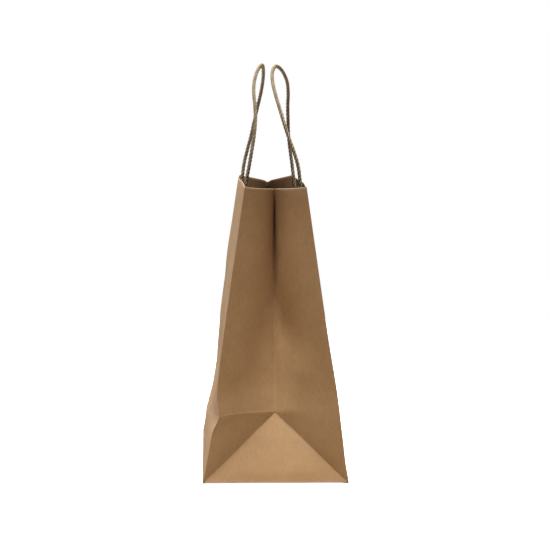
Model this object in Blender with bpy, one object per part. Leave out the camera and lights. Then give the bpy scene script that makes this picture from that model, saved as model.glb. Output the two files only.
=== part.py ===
"""Kraft paper gift bag with two twisted paper handles, standing open.

Metres, +Z up. X runs along the two broad walls, Y from the front wall (-Y) to the rear
wall (+Y), and the origin is the middle of the underside, on the table.

The bag is one folded sheet, so each panel between two creases is a solid of its own, and
a crease is the small clearance between two panels. A wall, with all that is glued to it,
hangs from an empty on its bottom crease, and both walls share the same local axes:
x along the wall, y into the bag and z up the wall.
"""

import math

import bmesh
import bpy
from mathutils import Vector

# Overall size of the bag
LENGTH = 0.4064  # broad wall, along X
GUSSET = 0.1524  # end of the bag, along Y
WALL_HEIGHT = 0.311  # along the wall, from bottom crease to rim

# How far the standing bag is pinched at the mouth
WALL_LEAN = math.radians(8.2)  # each broad wall leans in
TRIANGLE_LEAN = math.radians(18.5)  # the triangle at the foot of each end leans in
MOUTH_FOLD_DEPTH = 0.067  # how far the end's middle crease is tucked in at the rim

# Paper
PAPER = 0.0002
CLEARANCE = 0.0003  # between two sheets that touch
LAYER = PAPER + CLEARANCE
FLOOR_CLEARANCE = 0.0003  # a wall's raw lower edge above the table
CORNER_CLEARANCE = 0.0015  # from a side fold to the end panel beside it
CREASE_CLEARANCE = 0.0008  # from the end's middle crease to each panel beside it
TRIANGLE_CLEARANCE = 0.0012  # from a slanted foot crease to the panels beside it
FLANK_START = 0.06  # where a foot flank starts, as a share of its height from the corner

# Turned-in top edge
HEM_HEIGHT = 0.038
HEM_CORNER_CLEARANCE = 0.006
HEM_TOP_CLEARANCE = 0.0006

# Bottom flaps
BOTTOM_EDGE_CLEARANCE = 0.0006
BOTTOM_END_CLEARANCE = 0.0015
BOTTOM_OVERLAP = 0.026  # front flap over rear flap
END_FLAP_DEPTH = 0.09

# Glued side seam
SEAM_WIDTH = 0.016
SEAM_CORNER_CLEARANCE = 0.003

# Twisted paper handles
CORD_DIAMETER = 0.0042
HANDLE_BEND_ABOVE_RIM = 0.004  # where the cord bends
CORD_POINT_SPACING = 0.010
CORD_SIDES = 12

# Glued strips that hold each handle
PATCH_LENGTH = 0.2
PATCH_HEIGHT = 0.04
PATCH_BELOW_RIM = 0.008
FOOT_ABOVE_PATCH_BOTTOM = 0.004
PATCH_RAMP = 0.007  # from the cord's middle to where the strip lies flat again
PATCH_ARC_STEPS = 6

# Facets
GUSSET_ROWS = 10
HEM_ROWS = 3
GUSSET_COLUMNS = 4
SLOPE_STEP = 0.01  # how much climb an end panel's slope is measured over
LARGEST_CLEARANCE_SHARE = 0.4  # of a row's width, where an end panel narrows to its corner

# Sheets stacked on a wall's inner face, as distances from its outer face
HEM_LEVEL = LAYER
OUTER_PATCH_LEVEL = 2 * LAYER
INNER_PATCH_LEVEL = 3 * LAYER
CORD_RADIUS = CORD_DIAMETER / 2
CORD_LEVEL = INNER_PATCH_LEVEL + CORD_RADIUS
BEND_HEIGHT = WALL_HEIGHT + HANDLE_BEND_ABOVE_RIM

# Routes of the two handle cords, from one bend to the other, in millimetres: x along
# the wall from its middle, y into the bag from the feet's axis and z up the wall from
# the bend.
MILLIMETRE = 0.001
FRONT_CORD = (
    (-76, 0, 0), (-76, -0.4, 14), (-75.5, 0.2, 30), (-74, 1.2, 46), (-71, 2.0, 62),
    (-65, 3.2, 78), (-56, 4.4, 93), (-44, 4.6, 106), (-27, 3.6, 117.5), (-9, 1.6, 124.5),
    (9, -0.6, 125), (27, -4.0, 119), (44, -6.2, 107), (56, -5.4, 94), (64.5, -2.2, 80),
    (70, 0.4, 64), (73.5, 1.2, 47), (75.5, 1.0, 30), (76, 0.6, 14), (76, 0, 0),
)
REAR_CORD = (
    (-76, 0, 0), (-76, -0.4, 14), (-75.5, 1.0, 30), (-74, 3.6, 46), (-71, 6.0, 62),
    (-65, 8.2, 78), (-56, 10.2, 93), (-45, 11.2, 106.5), (-29, 9.8, 118), (-10, 6.0, 124),
    (10, 2.2, 124.5), (28, -3.2, 118.5), (45, -7.2, 106.5), (57, -7.0, 93), (65, -4.8, 79),
    (70.5, -3.0, 63), (74, -1.2, 46), (75.5, -0.6, 30), (76, -0.4, 14), (76, 0, 0),
)


def clear_scene():
    for item in list(bpy.data.objects):
        bpy.data.objects.remove(item, do_unlink=True)


def paper_material(name, colour, roughness):
    """A matt paper, given as linear red, green and blue."""
    material = bpy.data.materials.new(name)
    material.use_nodes = True
    shader = material.node_tree.nodes["Principled BSDF"]
    shader.inputs["Base Color"].default_value = (*colour, 1)
    shader.inputs["Roughness"].default_value = roughness
    shader.inputs["Metallic"].default_value = 0
    material.diffuse_color = (*colour, 1)
    return material


def add_empty(name, parent, location, rotation=(0, 0, 0)):
    empty = bpy.data.objects.new(name, None)
    empty.parent = parent
    empty.location = location
    empty.rotation_euler = rotation
    bpy.context.scene.collection.objects.link(empty)
    return empty


def add_piece(name, data, parent, material, origin=(0, 0, 0)):
    """Link an object whose data is drawn in its parent's axes, with its own origin there."""
    piece = bpy.data.objects.new(name, data)
    piece.parent = parent
    piece.location = origin
    data.materials.append(material)
    bpy.context.scene.collection.objects.link(piece)
    return piece


def flat_sheet(name, outline, level, normal, parent, material):
    """A flat sheet of paper: an outline pushed by PAPER along its normal."""
    bm = bmesh.new()
    lift = Vector(normal) * level
    face = bm.faces.new([bm.verts.new(Vector(point) + lift) for point in outline])
    pushed = bmesh.ops.extrude_face_region(bm, geom=[face])
    top = [item for item in pushed["geom"] if isinstance(item, bmesh.types.BMVert)]
    bmesh.ops.translate(bm, verts=top, vec=Vector(normal) * PAPER)
    bmesh.ops.recalc_face_normals(bm, faces=bm.faces)
    mesh = bpy.data.meshes.new(name)
    bm.to_mesh(mesh)
    bm.free()
    return add_piece(name, mesh, parent, material)


def curved_sheet(name, rows, parent, material, origin=(0, 0, 0)):
    """A sheet through a grid of points, each row as long as the next, on a solid PAPER thick.

    Seen from the side that the thickness goes away from, rows run left to right and
    follow each other upwards.
    """
    bm = bmesh.new()
    shift = Vector(origin)
    grid = [[bm.verts.new(point - shift) for point in row] for row in rows]
    for low, high in zip(grid, grid[1:]):
        for left in range(len(low) - 1):
            bm.faces.new((low[left], low[left + 1], high[left + 1], high[left]))
    mesh = bpy.data.meshes.new(name)
    bm.to_mesh(mesh)
    bm.free()
    piece = add_piece(name, mesh, parent, material, origin)
    thickness = piece.modifiers.new("Paper", "SOLIDIFY")
    thickness.thickness = PAPER
    thickness.offset = -1


def into_wall_axes(depth, inward, height):
    """A point beside the right-hand end of a wall, given by its depth from that end, its
    distance in from the wall's bottom crease and its height above the table."""
    return Vector((
        LENGTH / 2 - depth,
        inward * math.cos(WALL_LEAN) - height * math.sin(WALL_LEAN),
        inward * math.sin(WALL_LEAN) + height * math.cos(WALL_LEAN),
    ))


def middle_crease():
    """Lower and upper end of the end panel's middle crease, in a wall's axes."""
    low_depth = GUSSET / 2 * math.sin(TRIANGLE_LEAN)
    low_height = GUSSET / 2 * math.cos(TRIANGLE_LEAN)
    crease_length = WALL_HEIGHT - GUSSET / 2
    rise = math.sqrt(crease_length**2 - (MOUTH_FOLD_DEPTH - low_depth) ** 2)
    return (
        into_wall_axes(low_depth, GUSSET / 2, low_height),
        into_wall_axes(MOUTH_FOLD_DEPTH, GUSSET / 2, low_height + rise),
    )


def gusset_edges(climb):
    """The two edge points of an end panel at a climb from 0, the bottom corner, through 1,
    the flat-fold crease, to 2, the rim: on the side fold and on the inner crease."""
    corner = Vector((LENGTH / 2, 0, 0))
    crease_low, crease_high = middle_crease()
    if climb <= 1:
        side = corner + Vector((0, 0, GUSSET / 2)) * climb
        inner = corner.lerp(crease_low, climb)
    else:
        side = corner + Vector((0, 0, GUSSET / 2 + (WALL_HEIGHT - GUSSET / 2) * (climb - 1)))
        inner = crease_low.lerp(crease_high, climb - 1)
    return side, inner


def gusset_row(climb, side_clearance, inner_clearance, level):
    """Points across an end panel, from its side fold to its inner crease, moved into the
    bag by level along the panel's normal."""
    side, inner = gusset_edges(climb)
    side_above, inner_above = gusset_edges(min(climb + SLOPE_STEP, 2))
    side_below, inner_below = gusset_edges(max(climb - SLOPE_STEP, 0))
    across = inner - side
    start = min(side_clearance / across.length, LARGEST_CLEARANCE_SHARE)
    end = 1 - min(inner_clearance / across.length, LARGEST_CLEARANCE_SHARE)
    row = []
    for column in range(GUSSET_COLUMNS + 1):
        share = start + (end - start) * column / GUSSET_COLUMNS
        upward = side_above.lerp(inner_above, share) - side_below.lerp(inner_below, share)
        into_bag = upward.cross(across).normalized()
        row.append(side.lerp(inner, share) + into_bag * level)
    return row


def gusset_sheet(name, climbs, side_clearance, inner_clearances, level, hand, parent, material):
    """One sheet of an end panel. hand is 1 beside the wall's +x end and -1 beside its -x end."""
    rows = [
        gusset_row(climb, side_clearance, inner, level)
        for climb, inner in zip(climbs, inner_clearances)
    ]
    if hand < 0:
        rows = [[Vector((-p.x, p.y, p.z)) for p in reversed(row)] for row in rows]
    corner = Vector((hand * LENGTH / 2, 0, 0))
    curved_sheet(name, rows, parent, material, corner)


def even_steps(start, end, steps):
    return [start + (end - start) * step / steps for step in range(steps + 1)]


def gusset_flank(name, hand, parent, material):
    """The flat triangle of an end panel below the flat-fold crease."""
    climbs = [FLANK_START, 1 - CLEARANCE / (GUSSET / 2)]
    inner = [TRIANGLE_CLEARANCE] * len(climbs)
    gusset_sheet(name, climbs, CORNER_CLEARANCE, inner, 0, hand, parent, material)


def gusset_half(name, hand, parent, material):
    """The tall twisted part of an end panel, from the flat-fold crease to the rim."""
    climbs = even_steps(1 + CLEARANCE / (WALL_HEIGHT - GUSSET / 2), 2, GUSSET_ROWS)
    inner = [CREASE_CLEARANCE] * len(climbs)
    gusset_sheet(name, climbs, CORNER_CLEARANCE, inner, 0, hand, parent, material)


def gusset_hem(name, hand, parent, material):
    """The turned-in top edge of one end panel, lying on the panel's inner face."""
    upper = WALL_HEIGHT - GUSSET / 2
    bottom = 2 - HEM_HEIGHT / upper
    top = 2 - HEM_TOP_CLEARANCE / upper
    climbs = even_steps(bottom, top, HEM_ROWS)
    inner = [CREASE_CLEARANCE] * len(climbs)
    gusset_sheet(name, climbs, HEM_CORNER_CLEARANCE, inner, LAYER, hand, parent, material)


def wall_rectangle(left, right, bottom, top):
    return ((left, 0, bottom), (right, 0, bottom), (right, 0, top), (left, 0, top))


def wall_panel(name, parent, material):
    half = LENGTH / 2 - CLEARANCE
    outline = wall_rectangle(-half, half, FLOOR_CLEARANCE, WALL_HEIGHT)
    flat_sheet(name, outline, 0, (0, 1, 0), parent, material)


def wall_hem(name, parent, material):
    half = LENGTH / 2 - SEAM_CORNER_CLEARANCE
    outline = wall_rectangle(
        -half, half, WALL_HEIGHT - HEM_HEIGHT, WALL_HEIGHT - HEM_TOP_CLEARANCE
    )
    flat_sheet(name, outline, HEM_LEVEL, (0, 1, 0), parent, material)


def side_seam_flap(name, parent, material):
    """The raw edge of the sheet, glued inside the rear wall beside its +x fold."""
    right = LENGTH / 2 - SEAM_CORNER_CLEARANCE
    top = WALL_HEIGHT - HEM_HEIGHT - CLEARANCE
    outline = wall_rectangle(right - SEAM_WIDTH, right, BOTTOM_END_CLEARANCE, top)
    flat_sheet(name, outline, HEM_LEVEL, (0, 1, 0), parent, material)


def outer_patch(name, parent, material):
    top = WALL_HEIGHT - PATCH_BELOW_RIM
    outline = wall_rectangle(-PATCH_LENGTH / 2, PATCH_LENGTH / 2, top - PATCH_HEIGHT, top)
    flat_sheet(name, outline, OUTER_PATCH_LEVEL, (0, 1, 0), parent, material)


def feet_of(cord_route):
    """Places along the wall of a cord's two feet, the one nearer the wall's +x end first."""
    return cord_route[-1][0] * MILLIMETRE, cord_route[0][0] * MILLIMETRE


def inner_patch(name, feet, parent, material):
    """The strip that covers the handle's feet: flat, with a ridge over each foot."""
    ridge = CORD_RADIUS + CLEARANCE
    ramp_angle = math.atan2(-CORD_RADIUS, PATCH_RAMP)
    tangent = ramp_angle + math.acos(ridge / math.hypot(PATCH_RAMP, CORD_RADIUS))
    profile = [(PATCH_LENGTH / 2, INNER_PATCH_LEVEL)]
    for foot in feet:
        profile.append((foot + PATCH_RAMP, INNER_PATCH_LEVEL))
        for step in range(PATCH_ARC_STEPS + 1):
            angle = tangent + (math.pi - 2 * tangent) * step / PATCH_ARC_STEPS
            profile.append((foot + ridge * math.cos(angle), CORD_LEVEL + ridge * math.sin(angle)))
        profile.append((foot - PATCH_RAMP, INNER_PATCH_LEVEL))
    profile.append((-PATCH_LENGTH / 2, INNER_PATCH_LEVEL))
    top = WALL_HEIGHT - PATCH_BELOW_RIM
    rows = [[Vector((x, y, z)) for x, y in profile[::-1]] for z in (top - PATCH_HEIGHT, top)]
    curved_sheet(name, rows, parent, material)


def handle_foot(name, foot, parent, material):
    """The straight end of a handle cord, glued between the two strips."""
    bottom = WALL_HEIGHT - PATCH_BELOW_RIM - PATCH_HEIGHT + FOOT_ABOVE_PATCH_BOTTOM
    top = BEND_HEIGHT - CLEARANCE
    bm = bmesh.new()
    bmesh.ops.create_cone(
        bm, cap_ends=True, segments=CORD_SIDES, radius1=CORD_RADIUS, radius2=CORD_RADIUS,
        depth=top - bottom,
    )
    mesh = bpy.data.meshes.new(name)
    bm.to_mesh(mesh)
    bm.free()
    mesh.shade_smooth()
    mesh.set_sharp_from_angle(angle=math.radians(60))
    middle = (foot, CORD_LEVEL, (top + bottom) / 2)
    add_piece(name, mesh, parent, material, middle)


def smooth_route(points):
    """Points every CORD_POINT_SPACING or so on a Catmull-Rom curve through the points."""
    ends = [points[0] * 2 - points[1], *points, points[-1] * 2 - points[-2]]
    route = []
    for before, start, end, after in zip(ends, ends[1:], ends[2:], ends[3:]):
        steps = max(1, round((end - start).length / CORD_POINT_SPACING))
        for step in range(steps):
            t = step / steps
            route.append(0.5 * (
                2 * start + (end - before) * t
                + (2 * before - 5 * start + 4 * end - after) * t**2
                + (3 * start - before - 3 * end + after) * t**3
            ))
    route.append(points[-1])
    return route


def handle_cord(name, millimetres, parent, material):
    """The free loop of a handle: a round cord along its route, ending at its two bends."""
    # Its parent stands on the bend's axis, along the cord's outer side.
    axis_to_cord = Vector((0, CORD_RADIUS, 0))
    route = smooth_route([Vector(point) * MILLIMETRE + axis_to_cord for point in millimetres])
    curve = bpy.data.curves.new(name, "CURVE")
    curve.dimensions = "3D"
    curve.bevel_depth = CORD_RADIUS
    curve.bevel_resolution = 2
    curve.use_fill_caps = True
    spline = curve.splines.new("POLY")
    spline.points.add(len(route) - 1)
    for point, place in zip(spline.points, route):
        point.co = (*place, 1)
    add_piece(name, curve, parent, material)


def build_wall(side, corner_names, cord_route, turn, papers):
    """One broad wall with everything that leans and opens with it. corner_names gives the
    bag's end beside the wall's +x and -x end."""
    y = GUSSET / 2 if turn else -GUSSET / 2
    wall = add_empty(f"{side}_wall_crease", None, (0, y, 0), (-WALL_LEAN, 0, turn))
    wall_panel(f"{side}_panel", wall, papers["sheet"])
    wall_hem(f"{side}_panel_hem", wall, papers["inside"])
    outer_patch(f"{side}_handle_outer_strip", wall, papers["strip"])
    feet = feet_of(cord_route)
    inner_patch(f"{side}_handle_inner_strip", feet, wall, papers["strip"])
    for hand, end, foot in zip((1, -1), corner_names, feet):
        handle_foot(f"{side}_handle_{end}_foot", foot, wall, papers["cord"])
        gusset_flank(f"{end}_gusset_{side}_flank", hand, wall, papers["sheet"])
        gusset_half(f"{end}_gusset_{side}_half", hand, wall, papers["sheet"])
        gusset_hem(f"{end}_gusset_{side}_hem", hand, wall, papers["inside"])
    bend = add_empty(
        f"{side}_handle_bend", wall, (0, CORD_LEVEL - CORD_RADIUS, BEND_HEIGHT)
    )
    handle_cord(f"{side}_handle", cord_route, bend, papers["cord"])
    return wall


def bottom_flap(name, side, level, material):
    """A broad bottom flap with 45-degree ends, from its wall to past the middle."""
    edge = GUSSET / 2 - BOTTOM_EDGE_CLEARANCE
    half = LENGTH / 2 - BOTTOM_END_CLEARANCE
    reach = edge + BOTTOM_OVERLAP / 2
    outline = [
        (-half, side * edge, 0),
        (half, side * edge, 0),
        (half - reach, -side * BOTTOM_OVERLAP / 2, 0),
        (-half + reach, -side * BOTTOM_OVERLAP / 2, 0),
    ]
    flat_sheet(name, outline, level, (0, 0, 1), None, material)


def end_flap(name, side, level, material):
    """The flap folded in from one end, on top of the broad flaps."""
    outer = side * (LENGTH / 2 - BOTTOM_END_CLEARANCE)
    inner = side * (LENGTH / 2 - END_FLAP_DEPTH)
    half = GUSSET / 2 - BOTTOM_EDGE_CLEARANCE
    outline = [(outer, -half, 0), (outer, half, 0), (inner, half, 0), (inner, -half, 0)]
    flat_sheet(name, outline, level, (0, 0, 1), None, material)


def foot_triangle(name, side, material):
    """The triangle at the foot of an end, between the two slanted creases."""
    slant = TRIANGLE_CLEARANCE * math.sqrt(2)
    apex = GUSSET / 2 - slant
    half = apex - FLOOR_CLEARANCE
    crease = add_empty(
        f"{name}_crease", None, (side * LENGTH / 2, 0, 0), (0, -side * TRIANGLE_LEAN, 0)
    )
    outline = [(0, -half, FLOOR_CLEARANCE), (0, half, FLOOR_CLEARANCE), (0, 0, apex)]
    flat_sheet(name, outline, 0, (-side, 0, 0), crease, material)


def main():
    clear_scene()
    papers = {
        "sheet": paper_material("kraft_paper", (0.32, 0.19, 0.095), 0.85),
        "inside": paper_material("kraft_paper_inside", (0.24, 0.135, 0.065), 0.9),
        "strip": paper_material("kraft_strip", (0.27, 0.16, 0.08), 0.9),
        "cord": paper_material("twisted_paper_cord", (0.22, 0.17, 0.09), 0.8),
    }
    bottom_flap("rear_bottom_flap", 1, 0, papers["sheet"])
    bottom_flap("front_bottom_flap", -1, LAYER, papers["sheet"])
    for end, side in (("right", 1), ("left", -1)):
        end_flap(f"{end}_bottom_end_flap", side, 2 * LAYER, papers["sheet"])
        foot_triangle(f"{end}_gusset_foot_triangle", side, papers["sheet"])
    build_wall("front", ("right", "left"), FRONT_CORD, 0, papers)
    rear = build_wall("rear", ("left", "right"), REAR_CORD, math.pi, papers)
    side_seam_flap("side_seam_flap", rear, papers["sheet"])


main()
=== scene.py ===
import math

import bpy
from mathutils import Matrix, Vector, noise
from mathutils.bvhtree import BVHTree


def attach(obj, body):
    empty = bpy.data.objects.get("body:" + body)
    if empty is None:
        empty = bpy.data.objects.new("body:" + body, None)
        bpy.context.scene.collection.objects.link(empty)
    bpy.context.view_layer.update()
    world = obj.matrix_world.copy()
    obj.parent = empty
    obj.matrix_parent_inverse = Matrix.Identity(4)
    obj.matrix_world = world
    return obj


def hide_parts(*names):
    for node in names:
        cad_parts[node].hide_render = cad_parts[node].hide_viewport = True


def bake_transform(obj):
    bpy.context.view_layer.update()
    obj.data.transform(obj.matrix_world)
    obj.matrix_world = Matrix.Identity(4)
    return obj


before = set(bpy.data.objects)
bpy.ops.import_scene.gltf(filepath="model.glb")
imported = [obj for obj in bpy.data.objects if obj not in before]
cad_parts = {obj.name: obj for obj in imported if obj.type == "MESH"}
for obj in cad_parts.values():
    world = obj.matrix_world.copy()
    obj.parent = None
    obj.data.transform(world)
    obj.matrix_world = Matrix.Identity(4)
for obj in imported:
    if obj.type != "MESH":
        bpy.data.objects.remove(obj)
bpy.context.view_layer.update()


# ------------------------------------------------------------------ broad walls
# The two broad walls are panels of the one sheet of brown kraft that the bag is folded from.
# Each leans in from its bottom crease, is turned in at the rim for a hem and bends into an
# end panel at each side fold. A ridge still shows where the bag was once folded flat.

MM = 0.001
BAG_LENGTH = 406.4 * MM
BAG_DEPTH = 152.4 * MM
WALL_HEIGHT = 311 * MM
WALL_LEAN = math.radians(8.2)
PAPER = 0.2 * MM
LAYER = 0.5 * MM  # from one layer of paper to the next
HEM_HEIGHT = 38 * MM
HEM_LEVEL = LAYER + PAPER  # of a hem's showing face
HEM_TAPER = 4 * MM  # over which a hem closes up to its side fold
THINNEST_HEM = 0.12  # of HEM_LEVEL, at the side fold
RIM_BEND = HEM_LEVEL / 2
RIM_STEPS = 5
FOOT_BEND = 0.7 * MM  # radius of the fold round the bottom
FOOT_GAP = 1.2 * MM  # under that fold
FOOT_TURN_IN = 2.2 * MM
FOOT_TURNS = (0, 25, 50, 75)  # degrees round that fold
FLAT_FOLD = BAG_DEPTH / 2  # up the wall

# Dents in the side folds, in millimetres: how deep, how far up the wall and how tall.
FOLD_DENTS = {
    ("front", "right"): ((2.4, 62, 55), (4.9, 76, 13)),
    ("front", "left"): ((2.4, 70, 50), (4.4, 84, 18), (2.0, 124, 22), (1.6, 56, 14)),
    ("rear", "right"): ((-1.2, 96, 40), (0.5, 22, 14)),
    ("rear", "left"): ((1.4, 84, 26), (-0.8, 150, 30)),
}
# How far the flat-fold ridge has slipped down at each side fold, in millimetres.
FOLD_SLIP = {
    ("front", "right"): 4.3,
    ("front", "left"): 2.0,
    ("rear", "right"): 1.0,
    ("rear", "left"): 1.5,
}
FOLD_SLIP_SPREAD = 25 * MM
DENT_REACH = 30 * MM  # how far from a fold its dent is felt
RIDGE_SAG = {"front": 9.0 * MM, "rear": 1.5 * MM}  # how far the ridge itself has slipped
RIDGE_SAG_SPREAD = 30 * MM
RIDGE_BULGE = {"front": 6.0 * MM, "rear": 2.6 * MM}
RIDGE_MIDDLE = {"front": 118 * MM, "rear": 10 * MM}  # along the wall
RIDGE_REACH = {"front": 80 * MM, "rear": 150 * MM}
RIDGE_EVERYWHERE = 0.1  # of the greatest bulge, along the rest of the wall
RIDGE_FADE = {"front": 22 * MM, "rear": 62 * MM}  # above the ridge
# Broad hollows in each wall, in millimetres: depth, place and length along it, and place
# and height up it. A negative one stands out.
WALL_HOLLOWS = {
    "front": (
        (2.5, 40, 120, 125, 24), (4.2, -130, 80, 86, 26), (-2.8, -100, 110, 290, 70),
        (-2.2, -120, 110, 220, 36), (-1.2, 60, 60, 200, 60),
    ),
    "rear": ((1.6, 60, 110, 170, 50), (-2.4, -70, 100, 285, 70), (-1.4, 40, 80, 60, 40)),
}
STIFF_FROM, STIFF_TO = 170 * MM, 245 * MM  # the hem and handle strips keep the top flat
PAPER_WAVE = 1.1 * MM
PAPER_WAVE_LENGTH = 75 * MM
PAPER_CRUMPLE = 0.16 * MM
PAPER_CRUMPLE_LENGTH = 17 * MM
WALL_SEED, PANEL_SEED = {"front": 3, "rear": 8}, {"front": 20, "rear": 31}
HOLLOWS_CLEAR_FOOT = 40 * MM
CRUMPLE_CLEARS_FOLD = 25 * MM
RIDGE_SHARPNESS = 9
SPAN_SHARPNESS = 5  # how little of a wall's length its bulges take to fade out at a fold


def ease(value, start, end):
    """0 before start and 1 after end, smooth between."""
    share = min(max((value - start) / (end - start), 0), 1)
    return share * share * (3 - 2 * share)


def hump(value, middle, spread):
    """1 at the middle, and fading out to both sides over the spread."""
    return math.exp(-(((value - middle) / spread) ** 2))


def end_beside(side, x):
    """The end of the bag that a wall's x, along its own length, is nearer to."""
    return "right" if (x > 0) == (side == "front") else "left"


def softening(height):
    """How free the paper is to bend at a height: not at the bottom fold or the stiff top."""
    return ease(height, 0, 12 * MM) * (1 - ease(height, STIFF_FROM, STIFF_TO))


def fold_dent(side, end, height):
    """How far a side fold is pressed into the bag at a height up the wall."""
    dents = FOLD_DENTS[side, end]
    depth = sum(deep * hump(height, middle * MM, tall * MM) for deep, middle, tall in dents)
    return depth * MM * softening(height)


def fold_slip(side, end, height):
    """How far down the flat-fold ridge has slipped at a side fold."""
    return FOLD_SLIP[side, end] * MM * hump(height, FLAT_FOLD, FOLD_SLIP_SPREAD)


def crumple(x, height, seed):
    """Slow waves and small dimples of handled paper, in metres."""
    wave = noise.noise(Vector((x, height, seed)) / PAPER_WAVE_LENGTH)
    dimple = noise.noise(Vector((x, height, seed + 1)) / PAPER_CRUMPLE_LENGTH)
    return PAPER_WAVE * wave + PAPER_CRUMPLE * dimple


def ridge_bulge(side, x, height):
    """How far out the flat-fold ridge lifts a wall, most where it was last pressed."""
    rising = max(height / FLAT_FOLD, 0.001)
    falling = math.exp(-(height - FLAT_FOLD) / RIDGE_FADE[side])
    both = (rising**-RIDGE_SHARPNESS + falling**-RIDGE_SHARPNESS) ** (-1 / RIDGE_SHARPNESS)
    local = hump(x, RIDGE_MIDDLE[side], RIDGE_REACH[side])
    local = RIDGE_EVERYWHERE + (1 - RIDGE_EVERYWHERE) * local
    return RIDGE_BULGE[side] * both * local * (1 - ease(height, STIFF_FROM, STIFF_TO))


def hollows(side, x, height):
    """The broad hollows of a wall, which fade out towards its folds and its bottom."""
    depth = sum(
        deep * hump(x, middle * MM, long * MM) * hump(height, up * MM, tall * MM)
        for deep, middle, long, up, tall in WALL_HOLLOWS[side]
    )
    return depth * MM * ease(height, 0, HOLLOWS_CLEAR_FOOT)


def wall_point(side, x, height, level=0.0):
    """A point on a broad wall, in its own axes: x along it, y into the bag, z up it."""
    end = end_beside(side, x)
    from_fold = max(BAG_LENGTH / 2 - abs(x), 0)
    near_fold = math.exp(-from_fold / DENT_REACH)
    across = 1 - abs(2 * x / BAG_LENGTH) ** SPAN_SHARPNESS
    push = (hollows(side, x, height) - ridge_bulge(side, x, height)) * across
    push += fold_dent(side, end, height) * near_fold
    free = softening(height) * ease(from_fold, 0, CRUMPLE_CLEARS_FOLD)
    push += crumple(x, height, WALL_SEED[side]) * free
    sag = RIDGE_SAG[side] * (1 - near_fold) * hump(height, FLAT_FOLD, RIDGE_SAG_SPREAD)
    slip = fold_slip(side, end, height) * near_fold + sag
    return Vector((x, push + level, height - slip))


def from_wall(side, point):
    """A point in a wall's axes, in the bag's."""
    hand = 1 if side == "front" else -1
    inward = point.y * math.cos(WALL_LEAN) + point.z * math.sin(WALL_LEAN)
    up = point.z * math.cos(WALL_LEAN) - point.y * math.sin(WALL_LEAN)
    return Vector((hand * point.x, hand * (inward - BAG_DEPTH / 2), up))


def spread(start, end, steps, gather=0.0):
    """Values from start to end, gathered towards both as gather goes from 0 to 1."""
    values = []
    for step in range(steps + 1):
        share = step / steps
        gathered = (1 - math.cos(math.pi * share)) / 2
        values.append(start + (end - start) * (share + (gathered - share) * gather))
    return values


def foot_fold(turn):
    """How far in and up the paper is, so many degrees round the fold at the bottom."""
    angle = math.radians(turn)
    return FOOT_BEND * (1 - math.sin(angle)), FOOT_GAP + FOOT_BEND * (1 - math.cos(angle))


def hem_level(from_fold):
    """A hem's level, which closes up towards its side fold."""
    return HEM_LEVEL * max(THINNEST_HEM, min(1, from_fold / HEM_TAPER))


def hex_colour(code):
    """An sRGB hex code as linear red, green, blue and alpha."""
    parts = [int(code[at:at + 2], 16) / 255 for at in (1, 3, 5)]
    return (*[p / 12.92 if p <= 0.04045 else ((p + 0.055) / 1.055) ** 2.4 for p in parts], 1)


def add_node(tree, kind, inputs=(), **settings):
    """A new node with its settings, and its inputs set to values or linked to sockets."""
    made = tree.nodes.new(kind)
    for name, value in settings.items():
        setattr(made, name, value)
    for key, value in dict(inputs).items():
        if isinstance(value, bpy.types.NodeSocket):
            tree.links.new(value, made.inputs[key])
        else:
            made.inputs[key].default_value = value
    return made


def maths(tree, operation, *values, **settings):
    return add_node(tree, "ShaderNodeMath", dict(enumerate(values)),
                    operation=operation, **settings).outputs[0]


def mapped(tree, value, low, high, to_low=0.0, to_high=1.0):
    """A value moved from one range to another, and kept inside it."""
    return add_node(tree, "ShaderNodeMapRange", {
        "Value": value, "From Min": low, "From Max": high, "To Min": to_low, "To Max": to_high,
    }).outputs[0]


def mixed(tree, share, *colours):
    """A colour between two, each a socket or a hex code."""
    inputs = {0: share}
    for at, colour in zip((6, 7), colours):
        inputs[at] = hex_colour(colour) if isinstance(colour, str) else colour
    return add_node(tree, "ShaderNodeMix", inputs, data_type="RGBA").outputs[2]


def noisy(tree, place, size, detail, roughness=0.5, distortion=0.0):
    return add_node(tree, "ShaderNodeTexNoise", {
        "Vector": place, "Scale": 1 / size, "Detail": detail, "Roughness": roughness,
        "Distortion": distortion,
    }).outputs[0]


def new_paper(name):
    material = bpy.data.materials.new(name)
    material.use_nodes = True
    place = add_node(material.node_tree, "ShaderNodeTexCoord").outputs["Object"]
    return material, material.node_tree, place


def finish_paper(tree, colour, roughness, relief, strength, relief_height, specular):
    """Connect what a paper's nodes have made to its shader."""
    shader = tree.nodes["Principled BSDF"]
    bumps = add_node(tree, "ShaderNodeBump", {
        "Strength": strength, "Distance": relief_height, "Height": relief,
    }).outputs[0]
    for label, made in (("Base Color", colour), ("Roughness", roughness), ("Normal", bumps)):
        tree.links.new(made, shader.inputs[label])
    shader.inputs["IOR"].default_value = 1.47
    shader.inputs["Specular IOR Level"].default_value = specular
    shader.inputs["Metallic"].default_value = 0


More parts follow.
